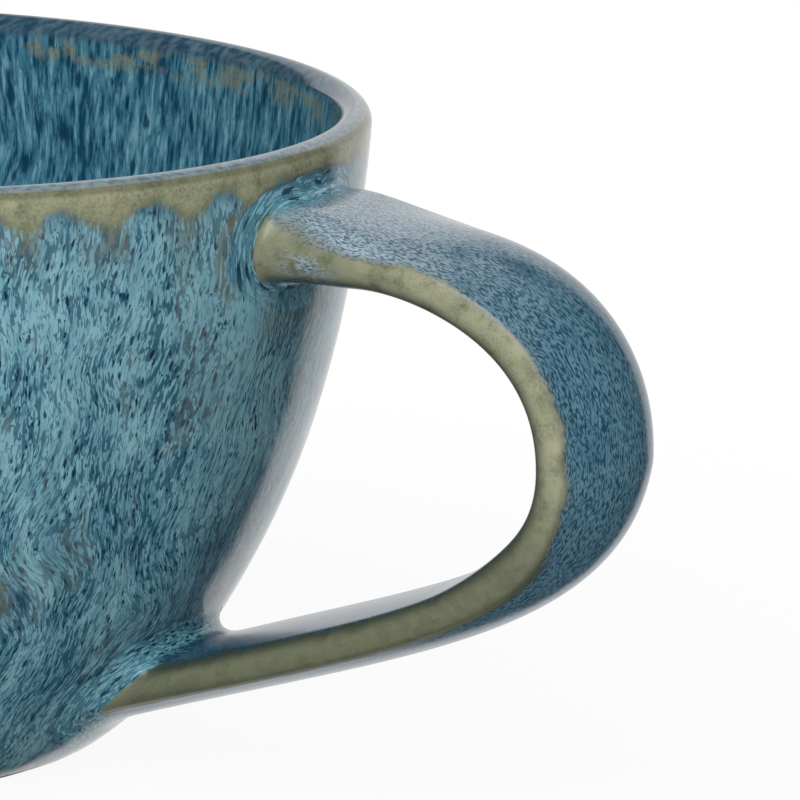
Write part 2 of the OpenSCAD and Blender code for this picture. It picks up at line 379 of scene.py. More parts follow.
class StrapForm:
    """The handle's rings in millimetres, from the upper root to the lower one."""

    def __init__(self, cup, sizes):
        self.cup = cup
        self.half_w = sizes.strap_w / MM / 2
        upper_z = cup.mug_h - sizes.handle_drop / MM
        lower_z = sizes.handle_low / MM
        upper = np.array([cup.radius(upper_z), upper_z])
        lower = np.array([cup.radius(lower_z), lower_z])
        tip = np.array([cup.rim_r + sizes.handle_reach / MM, lower_z + TIP_SHARE * (upper_z - lower_z)])
        rise = np.array([math.cos(sizes.upper_rise), math.sin(sizes.upper_rise)])
        fall = np.array([math.cos(sizes.lower_rise), math.sin(sizes.lower_rise)])
        arms = [
            [upper, upper + UPPER_PULL * (tip[0] - upper[0]) * rise,
             tip + [0, TIP_UP_PULL * (upper_z - tip[1])], tip],
            [tip, tip - [0, TIP_DOWN_PULL * (tip[1] - lower_z)],
             lower + LOWER_PULL * (tip[0] - lower[0]) * fall, lower],
        ]
        fine = np.linspace(0, 1, STRAP_CURVE_STEPS + 1)
        middle = np.concatenate([bezier(arms[0], fine), bezier(arms[1], fine[1:])])
        heading = np.concatenate([bezier_heading(arms[0], fine), bezier_heading(arms[1], fine[1:])])
        run = running_length(middle)
        self.runs = np.linspace(0, run[-1], int(run[-1] / STATION_GAP) + 1)
        self.middle, self.heading = (
            np.stack([np.interp(self.runs, run, v) for v in values.T], axis=1) for values in (middle, heading)
        )
        self.heading = unit(self.heading)
        near_root = np.exp(-((self.middle[:, 0] - upper[0]) / (sizes.flare_run / MM)) ** 2)
        on_upper_arm = self.runs <= run[fine.size - 1]
        self.edge = (sizes.strap_t / MM + sizes.root_flare / MM * near_root * on_upper_arm) / 2
        self.inner_crown = sizes.inner_crown / MM
        swollen = smooth_share(self.runs, *SWELL_START) * (1 - smooth_share(self.runs, *SWELL_END))
        self.swell = sizes.inner_swell / MM * swollen
        tip_crown, low_crown = sizes.tip_crown / MM, sizes.low_crown / MM
        upper_crown = tip_crown * smooth_share(self.middle[:, 0], upper[0], tip[0])
        drop = (tip[1] - self.middle[:, 1]) / (tip[1] - lower_z)
        lower_crown = low_crown + (tip_crown - low_crown) * np.exp(-drop / CROWN_FADE)
        self.crown = np.where(on_upper_arm, upper_crown, lower_crown)
        round_w = sizes.edge_round / MM
        self.crisp, self.on_side, self.from_crease, self.bare_lift = self.section(round_w, *CRISP_EDGE)
        self.soft = self.section(ROOT_ROUND, *SOFT_EDGE)[0]
        self.make_rings()

    def section(self, round_w, power, passes):
        """Across, lift and the two crowns of each point round the strap, and three rows about it.

        The rows tell the sides from the faces, give the way to the crease, and the lift unsmoothed."""
        flat_w = self.half_w - round_w
        a = np.linspace(-1, 1, STRAP_FACE_STEPS + 1)
        turn = np.linspace(math.pi / 2, -math.pi / 2, STRAP_SIDE_STEPS + 2)[1:-1]
        side = round_w * np.cos(turn) ** power
        one, none, bow = np.ones_like(a), 0 * turn, 1 - a * a
        parts = np.stack([
            np.concatenate([a * flat_w, flat_w + side, -a * flat_w, -flat_w - side[::-1]]),
            np.concatenate([one, np.sin(turn), -one, np.sin(turn[::-1])]),
            np.concatenate([bow, none, 0 * a, none]),
            np.concatenate([0 * a, none, -bow, none]),
        ])
        on_side = np.concatenate([0 * a, 1 + none, 0 * a, 1 + none])
        from_crease = np.concatenate([flat_w * (1 - np.abs(a)), none, flat_w * (1 - np.abs(a)), none])
        bare_lift = np.abs(parts[1])
        for _ in range(passes):
            parts = (np.roll(parts, 1, 1) + 2 * parts + np.roll(parts, -1, 1)) / 4
        return parts, on_side, from_crease, bare_lift

    def station(self, i):
        """One ring's points, its directions along and out, its normals, and its places on the strap."""
        out2 = left_of(self.heading[i])
        out = np.array([out2[0], 0, out2[1]])
        along = np.array([self.heading[i][0], 0, self.heading[i][1]])
        back = self.runs[-1] - self.runs[i]
        soft = math.exp(-(self.runs[i] / SOFT_RUN) ** 2)
        soft += LOWER_SOFTNESS * math.exp(-(back / SOFT_RUN) ** 2)
        across, lift, outer, inner = (1 - soft) * self.crisp + soft * self.soft
        height = self.edge[i] * lift + self.crown[i] * outer + self.inner_crown * inner
        height = height - self.swell[i] * np.clip(-lift, 0, 1)
        centre = np.array([self.middle[i][0], 0, self.middle[i][1]])
        points = centre + height[:, None] * out + across[:, None] * np.array([0, 1.0, 0])
        tangent = np.roll(points, -1, 0) - np.roll(points, 1, 0)
        normal = unit(np.cross(tangent, along))
        normal *= np.sign(np.sum(normal * (points - points.mean(0)), axis=1).sum())
        return points, along, out, normal, np.stack([across, height])

    def root(self, i, away, on_cup, on_strap, pull):
        """The fillet of one root: its corner on the cup, and rings from the cup out to the strap.

        With them come the rings' distances from the corner, the room that the fillet takes up on
        the strap, and the direction away from the cup."""
        points, along, out, normal, _ = self.station(i)
        along = along * away
        corner = points.copy()
        for _ in range(CORNER_PASSES):
            r = self.cup.radius(corner[:, 2])
            gap = np.sqrt(np.maximum(r ** 2 - corner[:, 1] ** 2, 0)) - corner[:, 0]
            corner = corner + along * (gap / along[0])[:, None]
        wall = self.cup.normal(corner)
        spread = unit(normal - np.sum(normal * wall, axis=1, keepdims=True) * wall)
        facing = normal @ out
        on_outer, on_inner = smooth_share(facing, 0.3, 0.9), smooth_share(-facing, 0.3, 0.9)
        cup_leg, strap_leg, pull = (
            side + (outer - side) * on_outer + (inner - side) * on_inner
            for outer, side, inner in (on_cup, on_strap, pull)
        )
        start = self.cup.pressed(corner + cup_leg[:, None] * spread, PRESS_IN)
        stop = corner + strap_leg[:, None] * along
        rings, depths = [], []
        for t in np.linspace(0, 1, FILLET_STEPS + 1):
            a, b, c = (1 - t) ** 2, 2 * t * (1 - t) * pull[:, None], t * t
            rings.append((a * start + b * corner + c * stop) / (a + b + c))
            depths.append((a * cup_leg - c * strap_leg) / (a + b + c)[:, 0])
        skirt = start - SKIRT_DEPTH * wall
        shift = np.sum((stop - points) * along, axis=1)
        return corner, [skirt] + rings, [depths[0]] + depths, shift, along

    def make_rings(self):
        last = len(self.runs) - 1
        upper = self.root(0, 1, *UPPER_FILLET)
        lower = self.root(last, -1, *LOWER_FILLET)
        self.corners = [upper[0], lower[0]]
        rings, depths, runs = list(upper[1]), list(upper[2]), []
        runs += [-FILLET_GAP * k for k in range(len(rings) - 1, -1, -1)]
        places = [self.station(0)[4]] * len(rings)
        for i in range(1, last):
            points, along, _, _, place = self.station(i)
            l, back = self.runs[i], self.runs[last] - self.runs[i]
            p = points + along * (upper[3] * max(0, 1 - l / UPPER_FADE) ** 2)[:, None]
            p = p - along * (lower[3] * max(0, 1 - back / LOWER_FADE) ** 2)[:, None]
            rings.append(p)
            from_upper = np.sum((p - upper[0]) * upper[4], axis=1)
            from_lower = np.sum((p - lower[0]) * lower[4], axis=1)
            depths.append(-(from_upper if l < back else from_lower))
            runs.append(l)
            places.append(place)
        self.turning_point = len(rings) // 2
        rings += lower[1][::-1]
        depths += lower[2][::-1]
        runs += [self.runs[last] + FILLET_GAP * k for k in range(len(lower[1]))]
        places += [self.station(last)[4]] * len(lower[1])
        self.rings = np.array(rings)
        self.depths = np.clip(np.array(depths), -DEPTH_LIMIT, DEPTH_LIMIT)
        self.ring_runs = np.array(runs)
        self.across = np.array([p[0] for p in places])
        self.heights = np.array([p[1] for p in places])
        edge = np.concatenate([
            np.full(len(upper[1]), self.edge[0]), self.edge[1:last], np.full(len(lower[1]), self.edge[last])
        ])
        strip = self.on_side * edge[:, None] * (1 - self.bare_lift) - self.from_crease
        run = self.ring_runs

        # Width that thicker glaze takes from the olive strip along the strap, in millimetres
        thicker = 0.45 * smooth_share(run, 8, 16) - 1.15 * smooth_share(run, 50, 66)
        dip = 1.3 * smooth_share(run, -3.5, 1) + 0.9 * smooth_share(run, 1, 7)
        thicker = thicker + dip * (1 - smooth_share(run, 9, 18))
        self.strip_depth = strip - thicker[:, None] * smooth_share(self.heights, -0.6, 0.6)


def ring_turn(corner):
    """Running length round a root's corner as an angle, and the radius that gives it that length."""
    closed = np.concatenate([corner, corner[:1]])
    run = running_length(closed)
    return 2 * math.pi * run / run[-1], run[-1] / (2 * math.pi)


def root_flow(points, corners):
    """Where points lie round the nearer root: two places on a ring, and the distance from it."""
    best = np.full(len(points), np.inf)
    flow = np.zeros((len(points), 3))
    for corner in corners:
        turn, ring_r = ring_turn(corner)
        step = np.roll(corner, -1, 0) - corner
        size = np.sum(step * step, axis=1)
        share = np.clip(((points[:, None, :] - corner) * step).sum(2) / size, 0, 1)
        gap = np.linalg.norm(points[:, None, :] - corner - share[..., None] * step, axis=2)
        near = gap.argmin(1)
        row = np.arange(len(points))
        d = gap[row, near]
        a = turn[near] + share[row, near] * (turn[near + 1] - turn[near])
        closer = d < best
        best = np.where(closer, d, best)
        found = np.stack([ring_r * np.cos(a), ring_r * np.sin(a), d], axis=1)
        flow[closer] = found[closer]
    return flow


def spun(loop, closed):
    """A bmesh of a section in millimetres, spun about the cup's axis."""
    bm = bmesh.new()
    verts = [bm.verts.new((r * MM, 0, z * MM)) for r, z in loop]
    for a, b in zip(verts, verts[1:]):
        bm.edges.new((a, b))
    if closed:
        bm.edges.new((verts[-1], verts[0]))
    bmesh.ops.spin(
        bm, geom=bm.verts[:] + bm.edges[:], cent=(0, 0, 0), axis=(0, 0, 1),
        angle=2 * math.pi, steps=SPIN_STEPS, use_merge=True,
    )
    bmesh.ops.remove_doubles(bm, verts=bm.verts[:], dist=MERGE_GAP)
    bmesh.ops.recalc_face_normals(bm, faces=bm.faces[:])
    return bm


def vertex_places(bm):
    return np.array([v.co for v in bm.verts]) / MM


def set_layer(bm, name, values):
    """Gives every vertex a number, or a vector where each value is a row."""
    layers = bm.verts.layers
    layer = (layers.float if values.ndim == 1 else layers.float_vector).new(name)
    for v, value in zip(bm.verts, values):
        v[layer] = value


def added(bm, name, material):
    """A new object in the scene, made from a bmesh."""
    mesh = bpy.data.meshes.new(name)
    bm.to_mesh(mesh)
    bm.free()
    mesh.materials.append(material)
    made = bpy.data.objects.new(name, mesh)
    bpy.context.scene.collection.objects.link(made)
    return made


def finished(bm, name, material, slot, *nodes):
    """Makes a piece from a bmesh; it rides on the mug and stands for CAD nodes."""
    for f in bm.faces:
        f.smooth = True
    for e in bm.edges:
        e.smooth = e.calc_face_angle(0) < SHARP_ANGLE
    piece = added(bm, name, material)
    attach(piece, "root")
    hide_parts(*nodes)


class Field:
    """One output of a node, so that shader maths reads as an expression."""

    def __init__(self, shade, socket):
        self.shade = shade
        self.socket = socket

    def math(self, operation, *others):
        values = dict(enumerate((self, *others)))
        return self.shade.node("Math", {"operation": operation}, values)

    def __add__(self, other):
        return self.math("ADD", other)

    __radd__ = __add__

    def __sub__(self, other):
        return self.math("SUBTRACT", other)

    def __rsub__(self, other):
        return self.shade.node("Math", {"operation": "SUBTRACT"}, {0: other, 1: self})

    def __mul__(self, other):
        return self.math("MULTIPLY", other)

    def __truediv__(self, other):
        return self.math("DIVIDE", other)

    def step(self, low, high):
        """0 below low and 1 above high, or the other way round where low is the larger."""
        return self.shade.node("MapRange", {"interpolation_type": "SMOOTHSTEP"}, {0: self, 1: low, 2: high})

    def at_least(self, other):
        return self.math("MAXIMUM", other)

    def ridge(self, width):
        """1 along the thin lines where a noise crosses its middle, and 0 away from them."""
        return (self - 0.5).math("ABSOLUTE").step(width, width * 0.55)


class Shade:
    """A node tree under construction."""

    def __init__(self, tree):
        self.tree = tree
        tree.nodes.clear()

    def node(self, kind, settings=None, sockets=None, out=0):
        made = self.tree.nodes.new("ShaderNode" + kind)
        for name, value in (settings or {}).items():
            setattr(made, name, value)
        for key, value in (sockets or {}).items():
            if isinstance(value, Field):
                self.tree.links.new(value.socket, made.inputs[key])
            else:
                made.inputs[key].default_value = value
        return Field(self, made.outputs[out])

    def attribute(self, name, out="Vector"):
        return self.node("Attribute", {"attribute_name": name}, out=out)

    def object_place(self):
        return self.node("TexCoord", out="Object")

    def of_vectors(self, operation, *vectors):
        """A number made from vectors, such as a length."""
        values = dict(enumerate(vectors))
        return self.node("VectorMath", {"operation": operation}, values, out="Value")

    def split(self, vector):
        first = self.node("SeparateXYZ", None, {0: vector})
        return [Field(self, s) for s in first.socket.node.outputs]

    def vector(self, place):
        """A vector from three numbers or fields, or the field that already is one."""
        if isinstance(place, Field):
            return place
        return self.node("CombineXYZ", None, dict(enumerate(place)))

    def noise(self, place, scale, detail=2.0, rough=0.5):
        sockets = {"Vector": self.vector(place), "Scale": scale, "Detail": detail, "Roughness": rough}
        return self.node("TexNoise", None, sockets)

    def grain(self, place, scale):
        return self.noise(place, scale, 3.0, 0.65)

    def cells(self, place, scale):
        """Distance to the middle of the nearest cell, and that cell's own number."""
        first = self.node("TexVoronoi", None, {"Vector": self.vector(place), "Scale": scale})
        own = Field(self, first.socket.node.outputs["Color"])
        return first, self.split(own)

    def mix(self, share, a, b):
        """A colour between two; a Mix node's colour sockets come after those for other types."""
        a, b = (c if isinstance(c, Field) else (*tuple(c)[:3], 1.0) for c in (a, b))
        return self.node("Mix", {"data_type": "RGBA"}, {0: share, 6: a, 7: b}, out=2)

    def bump(self, height, distance):
        return self.node("Bump", None, {"Distance": distance, "Height": height})

    def surface(self, sockets):
        shader = self.node("BsdfPrincipled", None, sockets)
        self.node_out("OutputMaterial", shader)

    def glazed(self, base, rough, height):
        """Glossy glaze with a fine relief."""
        self.surface({
            "Base Color": base, "Roughness": rough, "IOR": GLAZE_IOR,
            "Normal": self.bump(height, GLAZE_RELIEF),
        })

    def node_out(self, kind, shader):
        self.tree.links.new(shader.socket, self.tree.nodes.new("ShaderNode" + kind).inputs[0])


def new_material(name):
    material = bpy.data.materials.new(name)
    material.use_nodes = True
    return material, Shade(material.node_tree)


# In the glazes below, runs along the flow are millimetres; other numbers are shares and noise levels
def swirled(g, x, y, s, amount, seed):
    """Moves places round the cup in slow waves, so that streaks bend as running glaze does."""
    wide = g.noise((x * 0.7 + seed, y * 0.7, s * 0.9), 0.055, 1.0)
    near = g.noise((x * 0.4, y * 0.4 + seed, s * 0.8), 0.16, 0.0)
    turn = ((wide - 0.5) * 17.0 + (near - 0.5) * 3.5) * amount / FLOW_R
    return x - y * turn, y + x * turn


def flecked(g, c, x, y, s, stretch, size, dense=0.0, brown=0.0):
    """Milky teal crowded with dark drops and hair lines that run along the flow."""
    cloud = g.noise((x, y, s * 0.6), 0.12, 2.0)
    crowd = cloud.step(0.34, 0.66)
    ground = g.noise((x, y, s / stretch), 0.5 / size, 2.0)
    hair = g.noise((x, y, s / (stretch * 1.4)), 1.9 / size, 1.0)
    broken = g.noise((x + 7.0, y, s / 2.0), 0.8 / size, 1.0).step(0.42, 0.56)
    fine = g.noise((x + 31.0, y, s / (stretch * 1.4)), 2.2 / size, 1.0)
    drop, own = g.cells((x, y, s / (stretch * 0.8) + (fine - 0.5) * 0.6), 1.6 / size)
    base = g.mix((ground * 0.6 + cloud * 0.4).step(0.38, 0.60) * (0.35 + dense * 0.30), c.pale, c.teal)
    width = 0.042 + crowd * 0.030 + dense * 0.014
    strokes = (hair - crowd * 0.05 - dense * 0.02).step(0.455, 0.365)
    thin = (strokes * 0.92).at_least(fine.ridge(width) * (0.95 - broken * 0.40))
    base = g.mix(thin * (0.66 + crowd * 0.26), base, g.mix(brown * 0.6, c.navy, c.umber))
    drops = (drop - own[0] * 0.22 + (hair - 0.5) * 0.9 + (fine - 0.5) * 0.5).step(0.16, 0.06)
    drops = drops * (own[2] + crowd * 0.3 + dense * 0.25).step(0.50, 0.60)
    dark = g.mix(own[1], c.navy, c.ink)
    base = g.mix(drops * 0.9, base, g.mix(brown * 0.5, dark, c.umber))
    return base, cloud, fine, drops


def pooled(g, c, rx, ry, d, scale, run):
    """Thick turquoise glaze round a root, with dark dashes drawn out along the ring by a run."""
    rx, ry, d = rx * scale, ry * scale, d * scale
    wave = g.noise((rx, ry, d), 0.30, 1.0) - 0.5
    lines = g.noise((rx / run, ry / run, d + wave * 1.2), 3.0, 1.5)
    dash, own = g.cells((rx / (run * 0.8), ry / (run * 0.8), d + wave), 1.25)
    dark = (dash - own[0] * 0.26 + (lines - 0.5) * 0.7).step(0.22, 0.12)
    base = g.mix(lines.step(0.36, 0.62), c.teal, c.turquoise)
    base = g.mix(lines.step(0.54, 0.68) * 0.6, base, c.pale)
    base = g.mix(lines.ridge(0.05) * 0.6, base, c.navy)
    return g.mix(dark * 0.9, base, g.mix(own[1], c.navy, c.ink))


def outer_glaze_material(c):
    material, g = new_material("outer_glaze")
    x, y, s = g.split(g.attribute("glaze_flow"))
    rx, ry, d = g.split(g.attribute("root_flow"))
    belly = s.step(14.0, 48.0)
    wx, wy = swirled(g, x, y, s, 0.45 + s.step(6.0, 28.0) * 0.55, 40.0)
    brown = g.noise((wx + 90.0, wy, s * 0.45), 0.16, 2.0).step(0.52, 0.64) * 0.7
    base, cloud, lines, drops = flecked(g, c, wx, wy, s, 2.6, 1.0, belly, brown)

    # Oval islands and deep blue blots
    isle, own = g.cells((wx, wy + 30.0, s * 0.55), 0.075)
    chosen = own[0].step(0.70, 0.74)
    rough_isle = isle + (lines - 0.5) * 0.20
    base = g.mix(rough_isle.step(0.30, 0.20) * chosen * 0.3, base, c.slate)
    base = g.mix(rough_isle.step(0.20, 0.10) * chosen * 0.7, base, c.olive)
    blot, own_blot = g.cells((wx + 11.0, wy, s * 0.5), 0.20)
    blots = (blot + (lines - 0.5) * 0.5).step(0.24, 0.06) * own_blot[0].step(0.62, 0.68)
    base = g.mix(blots * 0.7, base, c.navy)

    # Pools round the roots of the handle, the brown edge that they push up and a stream below
    upper = s.step(48.0, 34.0)
    wander = (g.noise((x, y, s), 0.30, 1.0) - 0.5) * 1.6
    below = s.step(13.0, 18.0) * upper
    above = s.step(7.5, 4.5)
    reach = d + wander + above * 1.7 + below * 1.2 - (1 - upper) * 0.8
    pool = reach.step(4.6, 3.9) * (1 - below * 0.75)
    stream = (y + 11.0 + wander).math("ABSOLUTE").step(4.2, 1.6) * x.step(0.0, 20.0)
    stream = stream * s.step(12.0, 15.0) * (s + wander * 2.0).step(24.0, 18.0)
    base = g.mix(stream * lines.step(0.35, 0.6) * 0.7, base, c.turquoise)
    halo = reach.step(4.6, 5.4) * reach.step(8.0, 6.0) * upper * (1 - below * 0.4) * (1 - stream)
    base = g.mix(halo * (0.20 + lines.step(0.58, 0.42) * 0.65), base, g.mix(lines, c.umber, c.olive))

    # Thin khaki band under the lip: blue arches meet it, and brown fades down between them
    grain = g.grain((x, y, s), 2.6)
    patch = g.noise((x, y, s), 0.35, 2.0)
    turn = y.math("ARCTAN2", x) * ARCHES + (patch - 0.5) * 2.6
    arch = (turn - 0.44).math("SINE") * 0.5 + 0.5
    arch = arch * (0.35 + g.noise((x, y, 7.0), 0.10, 0.0).step(0.36, 0.58) * 0.75)
    past = s - 6.3 + arch * 2.2 + (patch - 0.5) * 1.4
    rim = (past + (lines - 0.5) * 1.4 + (grain - 0.5) * 0.6).step(1.0, -0.9)
    dusk = past.step(7.5, 0.0) * (1 - arch) * (1 - pool)
    base = g.mix(dusk * (0.12 + lines.step(0.60, 0.42) * 0.65), base, c.umber)
    base = g.mix(past.step(2.6, 0.0) * arch.step(0.4, 1.0) * 0.6 * (1 - pool), base, c.navy)
    thin = g.mix((patch * 0.5 + grain * 0.5).step(0.24, 0.66) * 0.8, c.olive, c.khaki)
    thin = g.mix(past.step(-1.8, 0.2) * 0.55, thin, c.olive)
    base = g.mix(rim, base, thin)
    base = g.mix(reach.step(3.4, 4.1) * reach.step(5.0, 4.4) * 0.6 * (1 - below), base, c.navy)
    base = g.mix(pool, base, pooled(g, c, rx, ry, d, 0.72 + upper * 0.28, 1.5 + upper * 3.1))

    # Crest of the lip: grey slate with pale mist dashes, a painted highlight of the light overhead broken up
    # by the glaze's mottle
    crest = s.step(1.7, 1.1)
    mottle_and_highlight = g.noise((x, y, s * 1.5), 1.1, 2.0)
    base = g.mix(crest * 0.9, base, g.mix(mottle_and_highlight.step(0.30, 0.70) * 0.5 + 0.05, c.slate, c.mist))
    base = g.mix(s.step(1.3, 1.6) * s.step(2.6, 2.0) * 0.45, base, c.moss)

    rough = 0.05 + lines * 0.04 + rim * 0.04
    g.glazed(base, rough, lines * 0.08 - drops * 0.1 + cloud * 1.2)
    return material


def liner_glaze_material(c):
    material, g = new_material("liner_glaze")
    x, y, s = g.split(g.attribute("glaze_flow"))
    wx, wy = swirled(g, x, y, s, 0.25, 75.0)
    cloud = g.noise((wx, wy, s * 0.6), 0.12, 2.0)
    lines = g.noise((wx, wy, s / 5.0), 1.2, 3.0, 0.6)
    hair = g.noise((wx, wy, s / 7.0), 1.7, 1.0)
    flow = lines + (cloud - 0.5) * 0.25
    base = g.mix(flow.step(0.34, 0.54), c.navy, c.teal)
    base = g.mix(flow.step(0.50, 0.68) * 0.75, base, c.pale)
    base = g.mix(hair.ridge(0.035) * 0.5, base, c.navy)
    blot, own = g.cells((wx, wy + 5.0, s / 2.4), 0.52)
    blots = (blot + (lines - 0.5) * 0.6).step(0.34, 0.16) * own[0].step(0.45, 0.55)
    base = g.mix(blots * 0.85, base, g.mix(own[1], c.navy, c.ink))

    # Glaze that has run together over the floor of the cup
    across, along, _ = g.split(g.object_place())
    still = g.noise((across * PER_METRE, along * PER_METRE, 0.0), 0.45, 3.0)
    pool = (s + (still - 0.5) * 30.0).step(64.0, 92.0)
    base = g.mix(pool * 0.9, base, g.mix(still.step(0.36, 0.64), c.navy, c.teal))
    base = g.mix(pool * still.step(0.58, 0.72) * 0.5, base, c.pale)

    # Thin brown glaze in a broken band under the lip, and the lip itself
    grain = g.grain((x, y, s), 2.6)
    patch = g.noise((x, y, s * 2.0), 0.22, 2.0)
    break_up = (patch + (lines - 0.5) * 0.4).step(0.44, 0.58)
    edge = s.step(2.6, 3.6) * s.step(7.0, 5.0) * break_up
    base = g.mix(edge * 0.65, base, g.mix(grain, c.moss, c.khaki))
    lip = s.step(3.8, 2.4)
    streak = g.noise((x + s * 0.9, y + s * 0.9, s * 0.2), 0.8, 2.0)
    base = g.mix(lip * 0.9, base, g.mix(streak.step(0.30, 0.72), c.deep, c.slate))
    g.glazed(base, 0.05 + lines * 0.04, lines * 0.08 + cloud)
    return material


def handle_glaze_material(c):
    material, g = new_material("handle_glaze")
    q, n, l = g.split(g.attribute("strap_flow"))
    rx, ry, d = g.split(g.attribute("root_flow"))
    strip = g.attribute("strip_depth", "Fac")
    sway = g.noise((q, n, l), 0.28, 1.0) - 0.5
    place = (q + sway * 1.4, n + sway, l / 3.0)
    lines = g.noise(place, 5.6, 1.5)
    cloud = g.noise((q, n, l), 0.16, 2.0)
    # Near the upper root, on top of the handle, the lines are paler and greyer, slate and mist: a painted
    # sheen of the light overhead. Further down they are the glaze's denim and deep blue
    lower = (l + (cloud - 0.5) * 16.0).step(10.0, 34.0)
    inner = n.step(-0.6, -1.6)
    base = g.mix(lines.step(0.38, 0.60), g.mix(lower, c.slate, c.deep), g.mix(lower, c.mist, c.denim))
    base = g.mix(cloud.step(0.50, 0.72) * lower * 0.4, base, c.navy)
    spark = g.noise((q, n, l / 1.5), 3.0, 1.0).step(0.54, 0.68)
    base = g.mix(inner * 0.85, base, g.mix(spark * 0.8, c.navy, c.denim))

    # Thin olive along the two edges, with painted shade where they round off towards the inner face
    grain = g.grain((q, n, l), 3.2)
    patch = g.noise((q, n, l), 0.40, 3.0)
    depth = strip + (patch - 0.5) * 0.8 + (lines - 0.5) * (0.5 + l.step(16.0, 8.0) * 0.9)
    # Darker olive near the upper root and down the lower arm, with more moss mottle there; khaki again at the
    # lower tip
    low = l.step(44.0, 60.0)
    thin = g.mix((patch * 0.65 + grain * 0.35).step(0.24, 0.66), c.olive, c.khaki)
    thin = g.mix(l.step(16.0, 8.0) * 0.35 + low * 0.70 - d.step(-7.0, -2.0) * low * 0.4, thin, c.olive)
    moss_mottle = patch.step(0.46, 0.62) * 0.3 + grain.step(0.50, 0.66) * 0.25
    thin = g.mix(moss_mottle * (0.35 + low * 0.65), thin, c.moss)
    # Painted shade: the rounded edges darken to moss from their middle towards the inner crease, where they
    # turn from the light
    thin = g.mix(strip.step(1.7, 0.0) * n.step(0.2, -0.8) * 0.65, thin, c.moss)
    thin = g.mix(depth.step(1.1, 0.0) * (0.45 + low * 0.25), thin, c.moss)
    loose = l.step(16.0, 6.0) * 0.9
    edge = depth.step(-0.40 - loose, 0.35 + loose)
    wash = n.step(-3.4, -1.8) * n.step(0.6, -1.0) * l.step(0.5, 2.5) * (l + lines * 3.0).step(11.0, 8.0)
    wash = wash * (patch + lines * 0.5).step(0.55, 0.85)
    thin = g.mix(wash * 0.75, thin, g.mix(lines.step(0.35, 0.6), c.deep, c.mist))
    base = g.mix(edge, base, thin)

    # Pools round the roots
    far = l.step(40.0, 50.0)
    reach = d + (lines - 0.5) * 1.6 + edge * (far * 5.1 - 2.1)
    rooted = (d - 0.5 + far * (3.1 - n * 0.7)).step(0.3, -0.3)
    pool = reach.step(-3.6, -0.6) * (1 - edge * rooted)
    base = g.mix(pool, base, pooled(g, c, rx, ry, d, 1.0 - far * 0.28, 4.6 - far * 3.1))
    g.glazed(base, 0.12 + lines * 0.06 + edge * 0.20, lines * 0.2 + patch * 0.8)
    return material


def clay_material(c):
    material, g = new_material("stoneware")
    place = g.object_place()
    grain = g.grain(place, 1600.0)
    cloud = g.noise(place, 90.0, 2.0)
    speck, own = g.cells(place, 700.0)
    warm = tuple(v * 0.72 for v in c.clay)
    base = g.mix((grain * 0.6 + cloud * 0.4).step(0.35, 0.65), warm, c.clay)
    base = g.mix(speck.step(0.30, 0.15) * own[0].step(0.72, 0.8) * 0.7, base, c.iron)
    g.surface({
        "Base Color": base, "Roughness": 0.78 + grain * 0.12,
        "Normal": g.bump(grain, CLAY_RELIEF),
    })
    return material


def base_glaze_material(c):
    material, g = new_material("base_glaze")
    x, y, z = g.split(g.object_place())
    base, cloud, lines, _ = flecked(g, c, x * PER_METRE, y * PER_METRE, z, 1.0, 1.1)
    g.glazed(base, 0.12 + lines * 0.06, lines * 0.5 + cloud)
    return material


def forms():
    """The curves of the cup and of its handle, from the scene's sizes."""
    sizes = bpy.context.scene.mug_sizes
    cup = CupForm(sizes)
    return cup, StrapForm(cup, sizes)


class MUG_OT_outer_glaze(bpy.types.Operator):
    """Add the glaze coat on the outside of the cup"""
    bl_idname = "mug.outer_glaze"
    bl_label = "Outer glaze"

    def execute(self, context):
        cup, strap = forms()
        bm = spun(cup.outer_loop(), True)
        p = vertex_places(bm)
        r = np.hypot(p[:, 0], p[:, 1])
        run = cup.run_at(p[:, 2])
        near = root_flow(p, strap.corners)
        seen = r > cup.radius(p[:, 2]) - cup.glaze_t / 3
        room = seen * smooth_share(run, *RELIEF_FROM_LIP) * smooth_share(near[:, 2], *RELIEF_FROM_ROOT)
        for v, place, share, way in zip(bm.verts, p, room, cup.normal(p)):
            if share > 0:
                wide, small = (noise.noise(Vector(place) * scale) for scale in RELIEF_SCALES)
                sunk = RELIEF_DEPTH + RELIEF_SWING * (wide + 0.5 * small)
                v.co -= Vector(way) * (share * sunk * MM)
        set_layer(bm, "glaze_flow", turned(p, FLOW_R, run))
        set_layer(bm, "root_flow", near)
        material = outer_glaze_material(context.scene.glaze_colours)
        finished(bm, "outer_glaze_coat", material, "outer_glaze", "outer_glaze")
        return {"FINISHED"}


class MUG_OT_liner_glaze(bpy.types.Operator):
    """Add the glaze coat on the inside of the cup"""
    bl_idname = "mug.liner_glaze"
    bl_label = "Liner glaze"

    def execute(self, context):
        cup = CupForm(context.scene.mug_sizes)
        seen, hidden = cup.liner_loop()
        bm = spun(np.concatenate([seen[::-1], hidden]), False)
        p = vertex_places(bm)
        section = np.stack([np.hypot(p[:, 0], p[:, 1]), p[:, 2]], axis=1)
        gap = np.linalg.norm(section[:, None, :] - seen[None], axis=2)
        run = running_length(seen)[gap.argmin(1)]
        set_layer(bm, "glaze_flow", turned(p, FLOW_R, run))
        material = liner_glaze_material(context.scene.glaze_colours)
        finished(bm, "liner_glaze_coat", material, "liner_glaze", "liner_glaze")
        return {"FINISHED"}


